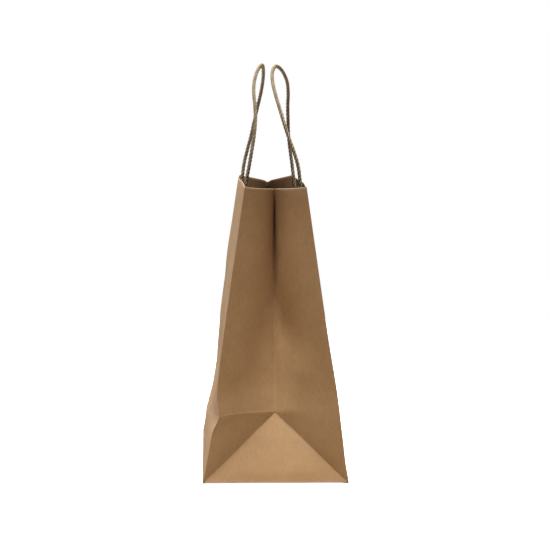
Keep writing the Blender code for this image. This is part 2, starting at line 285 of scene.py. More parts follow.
def kraft_paper(name, pale, deep, fleck, worn_and_lit, rib_depth=1.0):
    """Unbleached machine-glazed kraft: softwood fibre rolled on a paper machine, matt, a
    little mottled, with long pale and dark fibres and faint ribs that run up the sheet."""
    fibre_width, fibre_length = 0.7 * MM, 6 * MM  # drawn coarser than the real 0.04 mm
    mottle_size, cloud_size = 26 * MM, 90 * MM
    rib_spacing = 1.7 * MM
    stray_turn = 0.9
    material, tree, place = new_paper(name)
    flat = add_node(tree, "ShaderNodeUVMap", uv_map="flat_sheet").outputs["UV"]
    mottle = noisy(tree, place, mottle_size, 5, 0.62)
    cloud = noisy(tree, place, cloud_size, 2)
    along = add_node(tree, "ShaderNodeMapping", {
        "Vector": flat, "Scale": (1 / fibre_width, 1 / fibre_length, 1),
    }).outputs[0]
    fibre = noisy(tree, along, 1, 3, 0.7, 0.6)
    cross = add_node(tree, "ShaderNodeMapping", {
        "Vector": flat, "Rotation": (0, 0, stray_turn),
        "Scale": (1.4 / fibre_width, 0.7 / fibre_length, 1),
    }).outputs[0]
    stray = noisy(tree, cross, 1, 2, distortion=0.9)
    tone = mapped(tree, maths(tree, "ADD", mottle, cloud), 0.72, 1.28)
    specks = mapped(tree, stray, 0.63, 0.76, 0, 0.55)
    flecked = mixed(tree, specks, mixed(tree, tone, deep, pale), fleck)
    streaks = mapped(tree, fibre, 0.3, 0.7, 0.9, 1.1)
    streaked = add_node(tree, "ShaderNodeVectorMath", {
        0: flecked, 1: streaks,
    }, operation="MULTIPLY").outputs[0]
    # Folds are lightened towards the last colour: scuffed fibres, and partly a painted highlight
    # where a rounded fold would catch the light.
    wear_and_highlight = add_node(tree, "ShaderNodeAttribute", attribute_name="fold_wear_and_highlight").outputs["Fac"]
    rubbed_and_lit = mapped(tree, fibre, 0.3, 0.62, 0.25, 1)
    rubbed_and_lit = maths(tree, "MULTIPLY", wear_and_highlight, rubbed_and_lit, use_clamp=True)
    colour = mixed(tree, rubbed_and_lit, streaked, worn_and_lit)
    sideways = add_node(tree, "ShaderNodeSeparateXYZ", {0: flat}).outputs[0]
    ribs = maths(tree, "SINE", maths(tree, "MULTIPLY", sideways, 2 * math.pi / rib_spacing))
    ribs = maths(tree, "MULTIPLY_ADD", ribs, 0.16 * rib_depth, fibre)
    relief = maths(tree, "MULTIPLY_ADD", mottle, 1.4, ribs)
    roughness = mapped(tree, mottle, 0.3, 0.7, 0.68, 0.86)
    finish_paper(tree, colour, roughness, relief, 0.55, 0.12 * MM, 0.2)
    return material


# The last colour of each kraft is that of its lightened folds: scuffing and partly a painted
# highlight.
KRAFT = kraft_paper("machine_glazed_kraft", "#BB9871", "#AF8B64", "#846446", "#D2B48F")
# A darker copy of the kraft: painted shade for every face that looks into the bag.
SHADED_INSIDE_KRAFT = kraft_paper("kraft_painted_inside_shade", "#957355", "#826246", "#684C37", "#A88C6C")


def paper_sheet(name, rows, flat, wear_and_highlight, material, turned_at=0):
    """A closed sheet of paper. Rows of points on its outer face run left to right, and follow
    each other upwards, as seen from outside; the other two tables hold each point's place on
    the flat sheet and how much its folds are lightened, by scuffed fibres and partly as a
    painted highlight. The thickness goes behind the outer face. A sheet that is turned down
    into the bag at a row has a darker copy of the kraft, painted shade, on all that faces inwards."""
    tall, wide = len(rows), len(rows[0])
    back = []
    for up in range(tall):
        low, high = rows[max(up - 1, 0)], rows[min(up + 1, tall - 1)]
        for right in range(wide):
            before, after = max(right - 1, 0), min(right + 1, wide - 1)
            across = rows[up][after] - rows[up][before]
            outward = across.cross(high[right] - low[right]).normalized()
            back.append(rows[up][right] - outward * PAPER)
    points = [point for row in rows for point in row] + back
    behind = tall * wide
    faces = []
    for up in range(tall - 1):
        for right in range(wide - 1):
            corner = up * wide + right
            quad = (corner, corner + 1, corner + wide + 1, corner + wide)
            faces.append(quad)
            faces.append(tuple(behind + index for index in reversed(quad)))
    edge = list(range(wide))
    edge += [up * wide + wide - 1 for up in range(1, tall)]
    edge += [(tall - 1) * wide + right for right in range(wide - 2, -1, -1)]
    edge += [up * wide for up in range(tall - 2, 0, -1)]
    for here, after in zip(edge, edge[1:] + edge[:1]):
        faces.append((after, here, here + behind, after + behind))
    mesh = bpy.data.meshes.new(name)
    mesh.from_pydata(points, [], faces)
    places = [place for row in flat for place in row] * 2
    layout = mesh.uv_layers.new(name="flat_sheet")
    for loop in mesh.loops:
        layout.data[loop.index].uv = places[loop.vertex_index]
    # How much each point is lightened at its folds: scuffed fibres and partly a painted highlight.
    rubbed_and_lit = mesh.attributes.new("fold_wear_and_highlight", "FLOAT", "POINT")
    rubbed_and_lit.data.foreach_set("value", [value for row in wear_and_highlight for value in row] * 2)
    mesh.shade_smooth()
    mesh.set_sharp_from_angle(angle=math.radians(50))
    mesh.materials.append(material)
    # Every face that looks into the bag gets the darker kraft, which is painted shade.
    if turned_at:
        mesh.materials.append(SHADED_INSIDE_KRAFT)
        for index in range(2 * (tall - 1) * (wide - 1)):
            turned_down = index // 2 // (wide - 1) >= turned_at
            is_back = index % 2 == 1
            mesh.polygons[index].material_index = int(turned_down != is_back)
    piece = bpy.data.objects.new(name, mesh)
    bpy.context.scene.collection.objects.link(piece)
    return piece


def wall_sheet(side):
    half = BAG_LENGTH / 2
    columns = spread(-half, half, 92, 0.55)
    ridge = [FLAT_FOLD + step * MM for step in (-2.4, -1.4, -0.7, 0, 0.7, 1.4, 2.4)]
    heights = spread(2 * MM, ridge[0] - 2 * MM, 24) + ridge
    heights += spread(ridge[-1] + 2 * MM, WALL_HEIGHT - RIM_BEND, 66)
    # The foot, the flat-fold ridge and the rim are lightened in colour: scuffed fibres, and partly
    # a painted highlight along each fold.
    ridge_wear_and_highlight = 0.4 if side == "front" else 0.3
    rows, flat, wear_and_highlight = [], [], []

    def add_row(along, wear_and_highlight_here, place):
        rows.append([from_wall(side, place(x)) for x in columns])
        flat.append([(x, along) for x in columns])
        wear_and_highlight.append([max(wear_and_highlight_here, 0.2 * hump(half - abs(x), 0, 0.8 * MM)) for x in columns])

    # Round the bottom fold, from under the bag to its outer face.
    add_row(-2 * MM, 0, lambda x: Vector((x, FOOT_TURN_IN + FOOT_BEND, FOOT_GAP)))
    for turn in FOOT_TURNS:
        inward, up = foot_fold(turn)
        add_row(turn / 90 * MM, 0.5 if turn else 0, lambda x: Vector((x, inward, up)))
    for height in heights:
        rubbed_and_lit = ridge_wear_and_highlight * hump(height, FLAT_FOLD, 0.8 * MM)
        rubbed_and_lit = max(rubbed_and_lit, 0.5 * hump(height, 1 * MM, 1.5 * MM))
        rubbed_and_lit = max(rubbed_and_lit, 0.6 * hump(height, WALL_HEIGHT, 1.2 * MM))
        add_row(height, rubbed_and_lit, lambda x: wall_point(side, x, height))
    # Over the rim and down the inside to the hem's cut edge.
    for step in range(1, RIM_STEPS):
        angle = math.pi * step / RIM_STEPS
        height = WALL_HEIGHT - RIM_BEND + RIM_BEND * math.sin(angle)
        add_row(WALL_HEIGHT, 0.9, lambda x: wall_point(
            side, x, height, hem_level(half - abs(x)) / 2 * (1 - math.cos(angle))))
    turned_at = len(rows)
    for height in spread(WALL_HEIGHT - RIM_BEND, WALL_HEIGHT - HEM_HEIGHT, 14):
        rubbed_and_lit = 0.5 * hump(height, WALL_HEIGHT, 1.2 * MM)
        add_row(2 * WALL_HEIGHT - height, rubbed_and_lit, lambda x: wall_point(
            side, x, height + 0.3 * MM * noise.noise(Vector((x / (9 * MM), 0, 5))),
            hem_level(half - abs(x)),
        ))
    piece = paper_sheet(f"{side}_wall_sheet", rows, flat, wear_and_highlight, KRAFT, turned_at)
    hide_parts(f"{side}_panel", f"{side}_panel_hem")
    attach(piece, f"{side}_wall")


for side in ("front", "rear"):
    wall_sheet(side)


# ------------------------------------------------------------------ side seam flap
# The sheet's own raw edge, glued down inside the rear wall beside the left-hand fold, where
# the flat sheet was closed into a tube. It stops below the hem and just above the bottom.

SEAM_WIDTH = 16 * MM
SEAM_FROM_FOLD = 3 * MM
SEAM_ABOVE_BOTTOM = 1.8 * MM
SEAM_BELOW_HEM = 0.6 * MM


def seam_flap():
    right = BAG_LENGTH / 2 - SEAM_FROM_FOLD
    top = WALL_HEIGHT - HEM_HEIGHT - SEAM_BELOW_HEM
    columns = spread(right, right - SEAM_WIDTH, 12)
    rows, flat, wear_and_highlight = [], [], []
    for height in spread(SEAM_ABOVE_BOTTOM, top, 90):
        uneven = 0.35 * MM * noise.noise(Vector((height / (14 * MM), 0, 2)))
        row = []
        for x in columns:
            share = (right - x) / SEAM_WIDTH
            lift = 0.12 * MM * share**3 * (1 + noise.noise(Vector((height / (22 * MM), 0, 4))))
            row.append(from_wall("rear", wall_point("rear", x + uneven * share, height,
                                                    LAYER + PAPER + lift)))
        rows.append(row)
        flat.append([(x, height) for x in columns])
        wear_and_highlight.append([0.35 * hump(x, right - SEAM_WIDTH, 0.8 * MM) for x in columns])
    piece = paper_sheet("side_seam_flap_sheet", rows, flat, wear_and_highlight, KRAFT)
    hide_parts("side_seam_flap")
    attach(piece, "rear_wall")


seam_flap()


# ------------------------------------------------------------------ end panels
# Each end of the bag is a gusset in two halves that meet at a middle crease tucked into the
# bag. Low down, the flat-fold crease divides a half into a flank and the tall part above it;
# only the right end's front half kept that crease sharp. The hem goes on round the rim.

TRIANGLE_LEAN = math.radians(18.5)
MOUTH_FOLD_DEPTH = 67 * MM
CREASE_LENGTH = WALL_HEIGHT - BAG_DEPTH / 2
CREASE_SOFT_LOW, CREASE_SOFT_HIGH = 1.2 * MM, 2.2 * MM  # half-width of the valley's round
# How gently each half bends at the flat fold, as a share of its climb, and how much the fold is
# lightened: scuffed fibres and partly a painted highlight.
FLAT_FOLD_SOFT = {
    ("front", "right"): 0.012,
    ("rear", "right"): 0.20,
    ("front", "left"): 0.03,
    ("rear", "left"): 0.06,
}
FLAT_FOLD_WEAR_AND_HIGHLIGHT = {
    ("front", "right"): 0.75,
    ("rear", "right"): 0.0,
    ("front", "left"): 0.5,
    ("rear", "left"): 0.4,
}
# How far an end panel bellies out near the mouth, which sinks its middle crease in a groove.
PANEL_BELLY = {"right": 10.5 * MM, "left": 1.2 * MM}
FLANK_BELLY = 0.8 * MM
LEANING_BELLY = 0.25  # how much nearer to the side fold it is fullest
RIM_SAG = 1.2 * MM  # the rim's dip at the middle crease
RIM_SAG_REACH = 6 * MM
LOWEST_CLIMB = 0.012  # a panel stops just short of its bottom corner
# Soft dents in the tall part of a panel: share across, climb, millimetres deep, and how
# wide and tall, as a share and a climb. A negative one stands out.
PANEL_DENTS = {
    ("front", "right"): ((0.30, 1.20, -1.2, 0.25, 0.10), (0.75, 1.42, 1.0, 0.22, 0.14)),
    ("rear", "right"): ((0.80, 1.36, 2.4, 0.26, 0.11), (0.55, 1.18, -1.6, 0.30, 0.10)),
    ("front", "left"): ((0.50, 1.30, 1.5, 0.30, 0.15),),
    ("rear", "left"): ((0.40, 1.45, -1.5, 0.30, 0.20), (0.70, 1.20, 1.2, 0.25, 0.10)),
}
# Pinches under the rim beside the middle crease, in millimetres: off the crease, below the
# rim, how deep and how wide.
RIM_PINCHES = {
    ("front", "right"): ((4.2, 5.5, 1.5, 1.7), (0.6, 5.5, 1.4, 1.3)),
    ("rear", "right"): ((0.6, 5.5, 1.4, 1.3),),
    ("front", "left"): ((2.5, 6, 0.9, 2.5),),
    ("rear", "left"): ((3.5, 8, 0.8, 2.5),),
}


def in_wall_axes(depth, inward, height):
    """A point beside a wall's +x end: its depth from that end, its distance in from the
    wall's bottom crease and its height above the table."""
    return Vector((
        BAG_LENGTH / 2 - depth,
        inward * math.cos(WALL_LEAN) - height * math.sin(WALL_LEAN),
        inward * math.sin(WALL_LEAN) + height * math.cos(WALL_LEAN),
    ))


LOW_DEPTH = BAG_DEPTH / 2 * math.sin(TRIANGLE_LEAN)
LOW_HEIGHT = BAG_DEPTH / 2 * math.cos(TRIANGLE_LEAN)
CREASE_RISE = math.sqrt(CREASE_LENGTH**2 - (MOUTH_FOLD_DEPTH - LOW_DEPTH) ** 2)
CREASE_LOW = in_wall_axes(LOW_DEPTH, BAG_DEPTH / 2, LOW_HEIGHT)
CREASE_HIGH = in_wall_axes(MOUTH_FOLD_DEPTH, BAG_DEPTH / 2, LOW_HEIGHT + CREASE_RISE)


def panel_edges(climb):
    """The two edges of an end panel, at a climb from 0, the bottom corner, through 1, the
    flat fold, to 2, the rim: on the side fold and on the slanted or middle crease."""
    corner = Vector((BAG_LENGTH / 2, 0, 0))
    if climb <= 1:
        return corner + Vector((0, 0, FLAT_FOLD * climb)), corner.lerp(CREASE_LOW, climb)
    side = corner + Vector((0, 0, FLAT_FOLD + CREASE_LENGTH * (climb - 1)))
    return side, CREASE_LOW.lerp(CREASE_HIGH, climb - 1)


def flat_panel_point(share, climb, soft):
    """A point across an end panel, its bend at the flat fold spread over soft of its climb."""
    reach = soft * (1 - share) * min(1, climb / 0.5, (2 - climb) / 0.5)
    total, weights = Vector(), 0
    for step, weight in ((-1, 1), (-0.6, 2), (-0.25, 3), (0, 3), (0.25, 3), (0.6, 2), (1, 1)):
        side, inner = panel_edges(climb + step * reach)
        total += side.lerp(inner, share) * weight
        weights += weight
    return total / weights


def panel_point(side, end, share, climb):
    """A point on an end panel as it has been bent and handled, in its wall's axes as if
    beside the wall's +x end."""
    point = flat_panel_point(share, climb, FLAT_FOLD_SOFT[side, end])
    edge_side, edge_inner = panel_edges(climb)
    across = edge_inner - edge_side
    width = across.length
    from_fold, from_crease = share * width, (1 - share) * width
    # What the side fold does fades across the panel.
    height = flat_panel_point(0, climb, FLAT_FOLD_SOFT[side, end]).z
    felt = math.exp(-from_fold / DENT_REACH) * (1 - share)
    point.y += fold_dent(side, end, height) * felt
    point.z -= fold_slip(side, end, height) * felt
    # The panel bellies out a little between its creases.
    low = 1 - ease(climb, 0.9, 1.25)
    belly = FLANK_BELLY * low
    belly += PANEL_BELLY[end] * (1 - low) * (0.15 + 0.85 * ease(climb, 1.05, 1.75))
    # Near the mouth it is fullest beside the side fold.
    leaning = 1 + LEANING_BELLY * (1 - low) * (0.5 - share)
    belly *= 4 * share * (1 - share) * leaning * ease(climb, 0, 0.4)
    belly += crumple(from_fold, height, PANEL_SEED[side]) * 0.8 * (
        ease(from_fold, 0, 14 * MM) * ease(from_crease, 0, 14 * MM) * ease(climb, 0.2, 0.6))
    edges_free = ease(from_fold, 0, 12 * MM) * ease(from_crease, 0, 9 * MM)
    for over, up, deep, wide, tall in PANEL_DENTS[side, end]:
        belly -= deep * MM * hump(share, over, wide) * hump(climb, up, tall) * edges_free
    above_side, above_inner = panel_edges(min(climb + 0.01, 2))
    below_side, below_inner = panel_edges(max(climb - 0.01, 0))
    upward = above_side.lerp(above_inner, share) - below_side.lerp(below_inner, share)
    point += across.cross(upward).normalized() * belly
    # The middle crease is a soft valley near the mouth and a line low down.
    if climb > 1:
        soft = CREASE_SOFT_LOW + (CREASE_SOFT_HIGH - CREASE_SOFT_LOW) * ease(climb, 1.05, 1.9)
        lift = 0.5 * soft * abs(across.x) / width * max(0, 1 - from_crease / soft) ** 2
        point.x += lift * ease(climb, 1, 1.04)
        sag = RIM_SAG * hump(from_crease, 0, RIM_SAG_REACH) * ease(climb, 1.86, 2)
        point += Vector((0, math.sin(WALL_LEAN), -math.cos(WALL_LEAN))) * sag
        below_rim = (2 - climb) * CREASE_LENGTH
        for aside, below, deep, wide in RIM_PINCHES[side, end]:
            pressed = hump(from_crease, aside * MM, wide * MM) * hump(below_rim, below * MM, 2 * MM)
            point.x -= deep * MM * pressed
    return point


def end_panel(side, end):
    hand = 1 if (side == "front") == (end == "right") else -1
    shares = spread(0, 1, 34, 0.75)
    slope = 0.002

    def in_place(share, climb, level=0.0):
        point = panel_point(side, end, share, climb)
        if level:
            up = (panel_point(side, end, share, min(climb + slope, 2))
                  - panel_point(side, end, share, climb - slope))
            over = (panel_point(side, end, min(share + slope, 1), climb)
                    - panel_point(side, end, max(share - slope, 0), climb))
            inward = up.cross(over).normalized()
            if share == 1:
                # Both halves' hems meet in the plane through the middle crease.
                plane = Vector((0, math.cos(WALL_LEAN), math.sin(WALL_LEAN)))
                inward = (inward - plane * inward.dot(plane)).normalized()
            point += inward * level
        point.x *= hand
        return from_wall(side, point)

    rows, flat, wear_and_highlight = [], [], []

    def add_row(climb, along, wear_and_highlight_here, place):
        edge_side, edge_inner = panel_edges(climb)
        width = (edge_inner - edge_side).length
        row = [place(share) for share in shares]
        flat_row = [(hand * (BAG_LENGTH / 2 + share * width), along) for share in shares]
        wear_and_highlight_row = []
        for share in shares:
            # The side fold and the middle crease are lightened in colour: scuffed fibres, and
            # partly a painted highlight on the crease.
            at_fold = 0.15 * hump(share * width, 0, 0.8 * MM)
            sharp = 0.12 * (1 - 0.9 * ease(climb, 1.5, 1.8)) if climb > 1 else 0.03
            at_crease = sharp * hump((1 - share) * width, 0, 0.8 * MM)
            rough = wear_and_highlight_here * (0.35 + 0.65 * ease(1 - share, 0.02, 0.2))
            wear_and_highlight_row.append(max(rough, at_fold, at_crease))
        if hand < 0:
            for cells in (row, flat_row, wear_and_highlight_row):
                cells.reverse()
        rows.append(row)
        flat.append(flat_row)
        wear_and_highlight.append(wear_and_highlight_row)

    fine = 0.9 * MM / FLAT_FOLD
    fine_above = 0.9 * MM / CREASE_LENGTH
    climbs = spread(LOWEST_CLIMB, 1 - 3 * fine, 30) + [1 - 2 * fine, 1 - fine, 1]
    climbs += [1 + fine_above, 1 + 2 * fine_above]
    climbs += spread(1 + 3.5 * fine_above, 1.93, 50)
    climbs += spread(1.935, 2 - RIM_BEND / CREASE_LENGTH, 14)
    for climb in climbs:
        distance = (1 - climb) * FLAT_FOLD if climb < 1 else (climb - 1) * CREASE_LENGTH
        rubbed_and_lit = FLAT_FOLD_WEAR_AND_HIGHLIGHT[side, end] * hump(distance, 0, 0.7 * MM)
        rubbed_and_lit = max(rubbed_and_lit, 0.6 * hump((2 - climb) * CREASE_LENGTH, 0, 1.2 * MM))
        along = FLAT_FOLD * min(climb, 1) + CREASE_LENGTH * max(climb - 1, 0)
        add_row(climb, along, rubbed_and_lit, lambda share: in_place(share, climb))
    width = (panel_edges(2)[1] - panel_edges(2)[0]).length
    for step in range(1, RIM_STEPS):
        angle = math.pi * step / RIM_STEPS
        climb = 2 - RIM_BEND / CREASE_LENGTH * (1 - math.sin(angle))
        add_row(2, WALL_HEIGHT, 0.9, lambda share: in_place(
            share, climb, hem_level(share * width) * (1 - math.cos(angle)) / 2))
    turned_at = len(rows)
    hem_bottom = 2 - HEM_HEIGHT / CREASE_LENGTH
    for climb in spread(2 - RIM_BEND / CREASE_LENGTH, hem_bottom, 16):
        along = WALL_HEIGHT + (2 - climb) * CREASE_LENGTH
        add_row(climb, along, 0.5 * hump((2 - climb) * CREASE_LENGTH, 0, 1.2 * MM),
                lambda share: in_place(share, climb, hem_level(share * width)))
    piece = paper_sheet(f"{end}_{side}_end_panel_sheet", rows, flat, wear_and_highlight, KRAFT, turned_at)
    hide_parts(*[f"{end}_gusset_{side}_{part}" for part in ("flank", "half", "hem")])
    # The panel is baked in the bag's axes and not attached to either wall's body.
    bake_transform(piece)
    return piece


end_panels = {
    (side, end): end_panel(side, end) for end in ("right", "left") for side in ("front", "rear")
}


# ------------------------------------------------------------------ foot triangles
# The light triangle at the foot of each end is the same kraft, lying between the two slanted
# creases that let the bottom open square. Its tip is blunt, where the creases bunch up.

TIP_START, TIP_END, TIP_TOP = 64.5 * MM, 75.4 * MM, 77 * MM
TIP_START_HALF, TIP_END_HALF = 11.7 * MM, 5.9 * MM
TRIANGLE_BELLY = 1.1 * MM
TIP_STAND_OFF = 0.3 * MM


def triangle_half_width(up):
    """Half the width of a foot triangle, at a distance up it from the bottom fold."""
    if up <= TIP_START:
        return BAG_DEPTH / 2 - up
    if up <= TIP_END:
        return TIP_START_HALF + (TIP_END_HALF - TIP_START_HALF) * (
            (up - TIP_START) / (TIP_END - TIP_START))
    return TIP_END_HALF * math.sqrt(max(1 - (up - TIP_END) / (TIP_TOP - TIP_END), 0.02))


def foot_triangle(end):
    hand = 1 if end == "right" else -1
    above = [
        BVHTree.FromObject(end_panels[side, end], bpy.context.evaluated_depsgraph_get())
        for side in ("front", "rear")
    ]
    shares = spread(-1, 1, 56, 0.35)
    rows, flat, wear_and_highlight = [], [], []

    def outermost(y, z):
        """How far out the end panels stand behind a point, if they are there."""
        found = []
        for tree in above:
            hit = tree.ray_cast(Vector((hand * 0.3, y, z)), Vector((-hand, 0, 0)), 0.2)[0]
            if hit is not None:
                found.append(abs(hit.x))
        return max(found, default=0)

    def add_row(up, place, rubbed_and_lit):
        half = triangle_half_width(up)
        cells = [(share * half * hand, share) for share in shares]
        rows.append([place(y, share) for y, share in cells])
        flat.append([(y, up) for y, _ in cells])
        wear_and_highlight.append([max(rubbed_and_lit, 0.08 * hump(half * (1 - abs(share)), 0, 0.8 * MM))
                     for _, share in cells])

    half_length = BAG_LENGTH / 2
    add_row(0, lambda y, share: Vector((hand * (half_length - FOOT_TURN_IN), y, FOOT_GAP)), 0)
    for turn in FOOT_TURNS:
        inward, rise = foot_fold(turn)
        add_row(0, lambda y, share: Vector((hand * (half_length - inward), y, rise)),
                0.45 if turn else 0)
    ups = spread(1.6 * MM, TIP_START, 44) + spread(TIP_START + 0.6 * MM, TIP_TOP, 16)
    for up in ups:
        def on_plane(y, share, up=up):
            z = up * math.cos(TRIANGLE_LEAN)
            out = BAG_LENGTH / 2 - up * math.sin(TRIANGLE_LEAN)
            free = (1 - share * share) * ease(up, 0, 15 * MM) * ease(TIP_END - up, 0, 25 * MM)
            out += TRIANGLE_BELLY * free
            out += 0.35 * free * crumple(y, up, 40 + hand)
            if up > TIP_START - 6 * MM:
                over = outermost(y, z)
                rise = TIP_STAND_OFF * ease(up, TIP_START - 6 * MM, TIP_START)
                if over and over > out - 3 * MM:
                    out = max(out, over + rise)
            return Vector((hand * out, y, z))
        add_row(up, on_plane, 0.45 * hump(up, 1 * MM, 1.4 * MM))
    piece = paper_sheet(f"{end}_foot_triangle_sheet", rows, flat, wear_and_highlight, KRAFT)
    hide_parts(f"{end}_gusset_foot_triangle")
    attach(piece, f"{end}_foot")


for end in ("right", "left"):
    foot_triangle(end)


# ------------------------------------------------------------------ bottom
# The bottom is four flaps of the same sheet: the rear broad flap lies lowest, the front one
# is glued over it past the middle, and a flap is folded in over both from each end.

FLAP_SPECS = {
    "rear_bottom_flap": 0.0,
    "front_bottom_flap": LAYER,
    "right_bottom_end_flap": 2 * LAYER,
    "left_bottom_end_flap": 2 * LAYER,
}
FLAP_FROM_FOLD = 0.9 * MM
FLAP_OVERLAP = 26 * MM
END_FLAP_DEPTH = 90 * MM
GLUE = kraft_paper("kraft_with_dried_glue", "#BE966A", "#A87F55", "#80603F", "#D0AD84", 0.6)


def bottom_corners(name):
    """Corners of a flap, seen from above: along its fold, then along its free edge."""
    half, reach = BAG_LENGTH / 2 - FLAP_FROM_FOLD, BAG_DEPTH / 2 - FLAP_FROM_FOLD
    if "end" in name:
        hand = 1 if name.startswith("right") else -1
        free = BAG_LENGTH / 2 - END_FLAP_DEPTH
        near = ((hand * half, -hand * reach), (hand * half, hand * reach))
        far = ((hand * free, -hand * reach), (hand * free, hand * reach))
        return near, far
    hand = 1 if name.startswith("front") else -1
    past = FLAP_OVERLAP / 2
    cut = half - (reach + past)
    near = ((-hand * half, -hand * reach), (hand * half, -hand * reach))
    far = ((-hand * cut, hand * past), (hand * cut, hand * past))
    return near, far


def bottom_flap(name, level):
    near, far = bottom_corners(name)
    rows, flat, wear_and_highlight = [], [], []
    for up in spread(0, 1, 36, 0.3):
        row, flat_row, wear_and_highlight_row = [], [], []
        for across in spread(0, 1, 64, 0.3):
            low = Vector(near[0]).lerp(Vector(near[1]), across)
            high = Vector(far[0]).lerp(Vector(far[1]), across)
            place = low.lerp(high, up)
            ragged = 0.25 * MM * noise.noise(Vector((place.x, place.y, level)) / (11 * MM))
            shift = (high - low).normalized() * ragged * up
            dip = 0.1 * MM * (1 + noise.noise(Vector((place.x, place.y, 7)) / (28 * MM)))
            row.append(Vector((place.x + shift.x, place.y + shift.y, level + PAPER + dip)))
            flat_row.append((place.x, place.y))
            wear_and_highlight_row.append(0.4 * hump(up * (high - low).length, 0, 1.2 * MM))
        rows.append(row)
        flat.append(flat_row)
        wear_and_highlight.append(wear_and_highlight_row)
    piece = paper_sheet(f"{name}_sheet", rows, flat, wear_and_highlight, GLUE)
    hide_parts(name)
    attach(piece, "bottom")


for name, level in FLAP_SPECS.items():
    bottom_flap(name, level)


# ------------------------------------------------------------------ handle strips
# Inside each broad wall, two strips of heavier kraft hold the handle's feet: one glued to
# the hem, and one over the feet, which stands up in a ridge over each of them.

STRIP_LENGTH = 200 * MM
STRIP_HEIGHT = 40 * MM
STRIP_BELOW_RIM = 8 * MM
CORD_DIAMETER = 4.2 * MM
CORD_RADIUS = CORD_DIAMETER / 2
CORD_LEVEL = 3 * LAYER + CORD_RADIUS
FOOT_AT = 76 * MM
RIDGE_CLEARANCE = 0.3 * MM
RIDGE_RAMP = 7 * MM
STRIP = kraft_paper("heavy_kraft_strip", "#B48C61", "#9C744B", "#6F5136", "#CBA87E", 1.5)


def ridge_level(x, height):
    """How far in the covering strip's showing face is: flat, with a ridge over each foot."""
    flat_level = 3 * LAYER + PAPER
    aside = min(abs(x - FOOT_AT), abs(x + FOOT_AT))
    ridge = CORD_RADIUS + RIDGE_CLEARANCE + PAPER
    if aside >= RIDGE_RAMP:
        return flat_level
    round_part = CORD_LEVEL + math.sqrt(max(ridge**2 - aside**2, 0))
    crown = CORD_LEVEL + ridge
    slope = crown + (flat_level - crown) * ease(aside, ridge * 0.35, RIDGE_RAMP)
    return max(flat_level, slope, round_part if aside < ridge else flat_level)


def handle_strip(side, cover):
    name = f"{side}_handle_{'inner' if cover else 'outer'}_strip"
    top = WALL_HEIGHT - STRIP_BELOW_RIM + (0 if cover else 0.7 * MM)
    bottom = top - STRIP_HEIGHT - (0 if cover else 0.5 * MM)
    half = STRIP_LENGTH / 2 + (0 if cover else 0.8 * MM)
    columns = spread(half, -half, 260 if cover else 80)
    rows, flat, wear_and_highlight = [], [], []
    for height in spread(bottom, top, 22):
        row = []
        for x in columns:
            level = ridge_level(x, height) if cover else 2 * LAYER + PAPER
            edge = min(height - bottom, top - height, half - abs(x))
            pucker = noise.noise(Vector((x / (16 * MM), height / (9 * MM), 11)))
            level += 0.16 * MM * max(pucker, 0) * ease(edge, 0, 2 * MM) if cover else 0
            row.append(from_wall(side, wall_point(side, x, height, level)))
        rows.append(row)
        flat.append([(height, x) for x in columns])
        wear_and_highlight.append([0.5 * hump(min(abs(x - FOOT_AT), abs(x + FOOT_AT)), 2 * MM, 1 * MM)
                     if cover else 0 for x in columns])
    piece = paper_sheet(f"{name}_sheet", rows, flat, wear_and_highlight, STRIP)
    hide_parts(name)
    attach(piece, f"{side}_wall")


for side in ("front", "rear"):
    for cover in (False, True):
        handle_strip(side, cover)


# ------------------------------------------------------------------ twisted handles
# Each handle is one length of twisted paper cord: three ribbons of kraft twisted into round
# strands and laid together. It goes straight up out of the strips, bends a little above the
# rim and makes a free loop over the mouth.

BEND_HEIGHT = WALL_HEIGHT + 4 * MM
STRIP_TOP = WALL_HEIGHT - STRIP_BELOW_RIM
FOOT_BOTTOM = STRIP_TOP - 28.5 * MM  # hidden between the strips
# Each loop in millimetres: along the wall, into the bag from its feet, up from the bend.
HANDLE_LOOPS = {
    "front": (
        (-76, 0, 0), (-76, -0.4, 14), (-75.5, 0.2, 30), (-74, 1.2, 46), (-71, 2.0, 62),
        (-65, 3.2, 78), (-56, 4.4, 93), (-44, 4.6, 106), (-27, 3.6, 117.5), (-9, 1.6, 124.5),
        (9, -0.6, 125), (27, -4.0, 119), (44, -6.2, 107), (56, -5.4, 94), (64.5, -2.2, 80),
        (70, 0.4, 64), (73.5, 1.2, 47), (75.5, 1.0, 30), (76, 0.6, 14), (76, 0, 0),
    ),
    "rear": (
        (-76, 0, 0), (-76, -0.4, 14), (-75.5, 1.0, 30), (-74, 3.6, 46), (-71, 6.0, 62),
        (-65, 8.2, 78), (-56, 10.2, 93), (-45, 11.2, 106.5), (-29, 9.8, 118), (-10, 6.0, 124),
        (10, 2.2, 124.5), (28, -3.2, 118.5), (45, -7.2, 106.5), (57, -7.0, 93), (65, -4.8, 79),
        (70.5, -3.0, 63), (74, -1.2, 46), (75.5, -0.6, 30), (76, -0.4, 14), (76, 0, 0),
    ),
}
BOW_FELT = 60  # millimetres above the bend, until a cord no longer goes with its wall's bow
ROUTE_SPACING = 2 * MM
STRANDS = 3
STRAND_RADIUS = 1.02 * MM
LAY_RADIUS = CORD_RADIUS - STRAND_RADIUS  # from the cord's middle to a strand's
TWIST_LENGTH = 13 * MM  # along the cord for one turn
STRAND_SIDES = 10


def smooth_route(points, spacing):
    """Points about a spacing apart on a smooth curve through the given ones."""
    ends = [points[0] * 2 - points[1], *points, points[-1] * 2 - points[-2]]
    route = []
    for before, start, end, after in zip(ends, ends[1:], ends[2:], ends[3:]):
        steps = max(1, round((end - start).length / spacing))
        for step in range(steps):
            t = step / steps
            route.append(0.5 * (
                2 * start + (end - before) * t
                + (2 * before - 5 * start + 4 * end - after) * t**2
                + (3 * start - before - 3 * end + after) * t**3
            ))
    route.append(points[-1])
    return route


